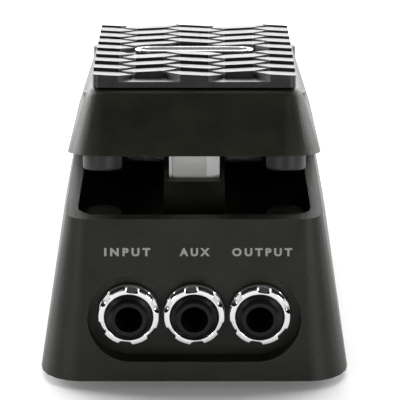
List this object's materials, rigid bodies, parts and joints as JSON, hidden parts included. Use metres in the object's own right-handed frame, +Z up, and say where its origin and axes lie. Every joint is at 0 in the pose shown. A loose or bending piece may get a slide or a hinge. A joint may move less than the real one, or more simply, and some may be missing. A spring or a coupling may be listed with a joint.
{
  "type": "volume pedal",
  "caption": "Compact foot pedal: cast base with jack sockets in the toe end, rocking treadle with honeycomb rubber tread, steel-band drive to a rotary level control.",
  "frame": {"origin": "centre of the footprint, on the surface the feet stand on", "axes": "+Z up, -Y towards the toe end with the jacks, +Y towards the heel, +X to the right seen from the toe end"},
  "size_m": [0.0744, 0.132, 0.0742],
  "materials": {
    "cast_black": "fine textured powder coat",
    "cast_black_treadle": "fine textured powder coat",
    "tread_rubber": "moulded, slightly glossy",
    "badge_metal": "satin",
    "foot_rubber": "matte",
    "bumper_rubber": "satin",
    "jack_plastic": "semi-gloss",
    "nut_chrome": "bright",
    "contact_brass": "tinned",
    "board_laminate": "solder mask",
    "connector_plastic": "satin",
    "arm_nylon": "satin",
    "band_steel": "rolled, bright",
    "drum_brass": "turned",
    "bush_nylon": "satin",
    "lead_sleeve": "satin",
    "plate_steel": "satin black",
    "bracket_steel": "zinc plated",
    "control_steel": "nickel plated",
    "fixing_steel": "zinc plated"
  },
  "bodies": {
    "base": {"aux_jack_body": "jack_plastic", "aux_jack_nut": "nut_chrome", "aux_sleeve_contact": "contact_brass", "aux_tip_contact": "contact_brass", "axle_nut": "fixing_steel", "axle_washer_left": "fixing_steel", "axle_washer_right": "fixing_steel", "base_housing": "cast_black", "board_connector": "connector_plastic", "bottom_plate": "plate_steel", "bottom_screw_1": "fixing_steel", "bottom_screw_2": "fixing_steel", "bottom_screw_3": "fixing_steel", "bottom_screw_4": "fixing_steel", "bracket_screw_1": "fixing_steel", "bracket_screw_2": "fixing_steel", "bracket_screw_3": "fixing_steel", "bracket_screw_4": "fixing_steel", "circuit_board": "board_laminate", "input_jack_body": "jack_plastic", "input_jack_nut": "nut_chrome", "input_sleeve_contact": "contact_brass", "input_tip_contact": "contact_brass", "output_jack_body": "jack_plastic", "output_jack_nut": "nut_chrome", "output_sleeve_contact": "contact_brass", "output_tip_contact": "contact_brass", "pivot_axle": "fixing_steel", "pot_body": "control_steel", "pot_bracket": "bracket_steel", "pot_lead": "lead_sleeve", "pot_nut": "control_steel", "rubber_foot_1": "foot_rubber", "rubber_foot_2": "foot_rubber", "rubber_foot_3": "foot_rubber", "rubber_foot_4": "foot_rubber"},
    "treadle_body": {"arm_screw_1": "fixing_steel", "arm_screw_2": "fixing_steel", "axle_bush_left": "bush_nylon", "axle_bush_right": "bush_nylon", "badge": "badge_metal", "drive_band_lower": "band_steel", "drive_band_upper": "band_steel", "heel_bumper_left": "bumper_rubber", "heel_bumper_right": "bumper_rubber", "lower_band_clamp": "bracket_steel", "lower_clamp_screw": "fixing_steel", "sector_arm": "arm_nylon", "toe_bumper_left": "bumper_rubber", "toe_bumper_right": "bumper_rubber", "tread_pad": "tread_rubber", "treadle": "cast_black_treadle", "upper_band_clamp": "bracket_steel", "upper_clamp_screw": "fixing_steel"},
    "control_rotor": {"pot_shaft": "control_steel", "band_drum": "drum_brass", "drum_set_screw": "fixing_steel", "drive_band_turn": "band_steel"}
  },
  "joints": [
    {"name": "treadle_pivot", "type": "hinge", "parent": "base", "child": "treadle_body", "pos_m": [0, 0, 0.0474], "axis": [1, 0, 0], "range_deg": [0, 14.6]},
    {"name": "pot_spin", "type": "hinge", "parent": "base", "child": "control_rotor", "pos_m": [0, -0.02281, 0.0182], "axis": [1, 0, 0], "range_deg": [-97.5, 0.5]}
  ],
  "couplings": [
    {"joint": "pot_spin", "follows": "treadle_pivot", "ratio": -6.625}
  ]
}
